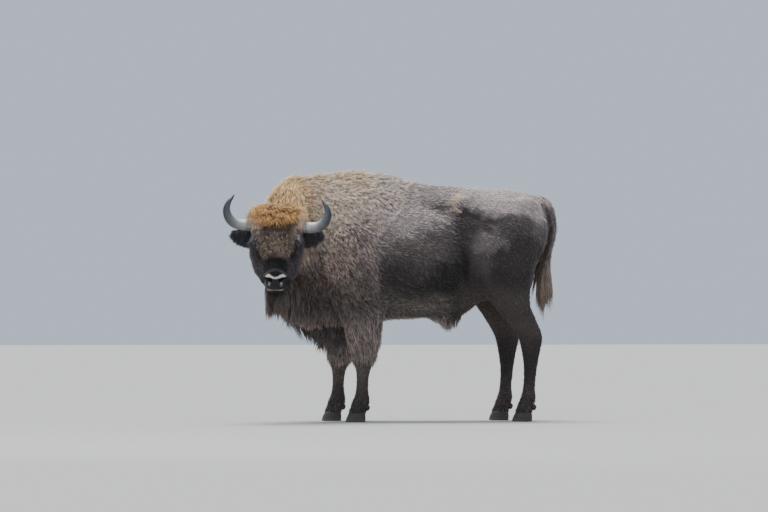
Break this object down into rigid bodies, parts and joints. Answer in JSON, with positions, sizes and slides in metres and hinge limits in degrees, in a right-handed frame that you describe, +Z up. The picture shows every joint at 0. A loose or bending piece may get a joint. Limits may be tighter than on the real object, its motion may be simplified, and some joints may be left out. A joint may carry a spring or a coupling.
{
  "type": "wisent bull figure",
  "caption": "Life-size standing wisent bull, its head turned to its left to face the viewer, with curved horns, a woolly hump and mane, a beard and a hanging tail.",
  "frame": {"origin": "on the ground, under the middle of the bounding box", "axes": "+Z up, +X towards the rump along the trunk, -Y towards the bull's left side, where the face looks"},
  "size_m": [2.3405, 1.0742, 1.703],
  "materials": {
    "coat": "dense grey-brown hair, matt",
    "mane": "long woolly brown hair, tawny along the crest",
    "crown": "curled ginger hair",
    "leg": "short dark brown hair",
    "face": "short near-black hair, bare moist skin at the nose",
    "horn": "grey horn, dark towards the tips",
    "hoof": "black horn",
    "eye": "wet and dark"
  },
  "bodies": {
    "root": {"barrel": "coat", "beard": "mane", "brisket_mane": "mane", "chest": "mane", "head": "crown", "left_ear": "face", "left_eye": "eye", "left_fore_cannon": "leg", "left_fore_inner_claw": "hoof", "left_fore_inner_dewclaw": "hoof", "left_fore_outer_claw": "hoof", "left_fore_outer_dewclaw": "hoof", "left_fore_pastern": "leg", "left_forearm": "leg", "left_gaskin": "leg", "left_hind_cannon": "leg", "left_hind_inner_claw": "hoof", "left_hind_inner_dewclaw": "hoof", "left_hind_outer_claw": "hoof", "left_hind_outer_dewclaw": "hoof", "left_hind_pastern": "leg", "left_horn": "horn", "left_shoulder": "coat", "left_thigh": "coat", "lower_jaw": "face", "muzzle": "face", "neck": "mane", "right_ear": "face", "right_eye": "eye", "right_fore_cannon": "leg", "right_fore_inner_claw": "hoof", "right_fore_inner_dewclaw": "hoof", "right_fore_outer_claw": "hoof", "right_fore_outer_dewclaw": "hoof", "right_fore_pastern": "leg", "right_forearm": "leg", "right_gaskin": "leg", "right_hind_cannon": "leg", "right_hind_inner_claw": "hoof", "right_hind_inner_dewclaw": "hoof", "right_hind_outer_claw": "hoof", "right_hind_outer_dewclaw": "hoof", "right_hind_pastern": "leg", "right_horn": "horn", "right_shoulder": "coat", "right_thigh": "coat", "rump": "coat", "sheath": "coat", "tail": "coat", "tail_tuft": "coat"}
  },
  "joints": []
}
